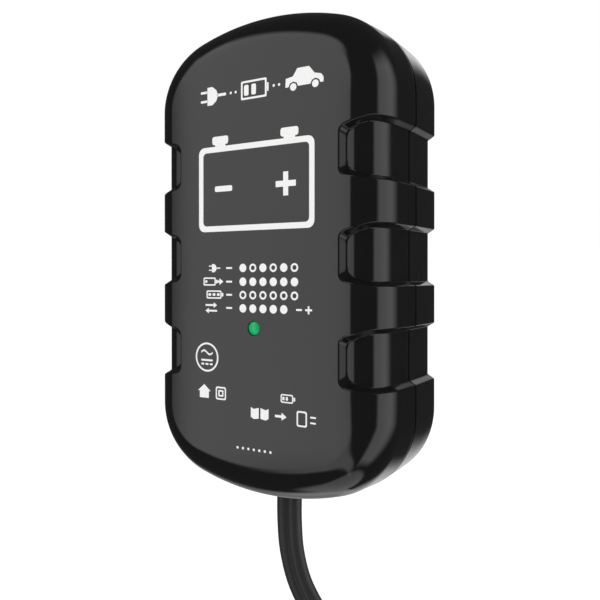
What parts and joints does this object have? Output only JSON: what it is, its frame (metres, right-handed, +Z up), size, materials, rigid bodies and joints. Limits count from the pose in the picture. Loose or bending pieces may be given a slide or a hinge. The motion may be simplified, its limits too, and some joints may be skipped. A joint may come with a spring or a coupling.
{
  "type": "car battery charger",
  "caption": "Plug-in battery maintainer with grip recesses, outlet blades, a coiled flat twin lead and red and black battery clamps.",
  "frame": {"origin": "midway between the two outlet blades, on the rear face of the housing", "axes": "+Z up along the housing's height, +Y into the wall along the blades, +X to the right as seen from the front"},
  "size_m": [0.0946, 0.0563, 0.299],
  "materials": {
    "gloss_black": "high gloss moulded",
    "matt_black": "fine matt",
    "plated_steel": "zinc plated",
    "green_lens": "clear tinted",
    "brass": "plain stamped",
    "copper": "copper, plain stamped",
    "board": "green solder resist",
    "glass_tube": "clear",
    "yellow_tape": "satin",
    "ferrite": "ground",
    "can_sleeve": "shrunk sleeve",
    "aluminium": "plain",
    "white_plastic": "fine matt",
    "blue_ceramic": "dipped",
    "cord_black": "satin",
    "cord_red": "satin",
    "clamp_red": "satin",
    "clamp_black": "satin"
  },
  "bodies": {
    "charger": {"front_housing": "gloss_black", "rear_housing": "gloss_black", "housing_screws": "plated_steel", "light_pipe": "green_lens", "status_led": "green_lens", "blade_carrier": "matt_black", "blade_left": "brass", "blade_right": "brass", "circuit_board": "board", "input_fuse": "glass_tube", "input_capacitor": "yellow_tape", "choke_core": "ferrite", "choke_winding": "copper", "bridge_rectifier": "matt_black", "bulk_capacitor": "can_sleeve", "transformer_core": "ferrite", "transformer_bobbin": "matt_black", "transformer_winding": "yellow_tape", "switching_transistor": "matt_black", "heat_sink": "aluminium", "optocoupler": "white_plastic", "safety_capacitor": "blue_ceramic", "output_diode": "matt_black", "output_capacitor": "can_sleeve", "control_chip": "matt_black", "output_wires": "cord_black", "cord_grip": "matt_black", "cord_lead": "cord_black", "cord_coil": "cord_black", "coil_tie": "matt_black", "cord_tail": "cord_black", "split_sleeve": "matt_black", "red_lead": "cord_red", "black_lead": "cord_black", "red_clamp_base": "clamp_red", "red_clamp_pin": "plated_steel", "red_clamp_spring": "plated_steel", "red_base_plate": "copper", "black_clamp_base": "clamp_black", "black_clamp_pin": "plated_steel", "black_clamp_spring": "plated_steel", "black_base_plate": "copper"},
    "red_lever": {"red_clamp_lever": "clamp_red", "red_lever_plate": "copper"},
    "black_lever": {"black_clamp_lever": "clamp_black", "black_lever_plate": "copper"}
  },
  "joints": [
    {"name": "red_clamp_hinge", "type": "hinge", "parent": "charger", "child": "red_lever", "pos_m": [-0.014, -0.0315, -0.226], "axis": [0, 1, 0], "range_deg": [0, 28], "stiffness_Nm_per_rad": 0.3, "springref_deg": -28.65},
    {"name": "black_clamp_hinge", "type": "hinge", "parent": "charger", "child": "black_lever", "pos_m": [0.024, -0.0315, -0.226], "axis": [0, -1, 0], "range_deg": [0, 28], "stiffness_Nm_per_rad": 0.3, "springref_deg": -28.65}
  ]
}
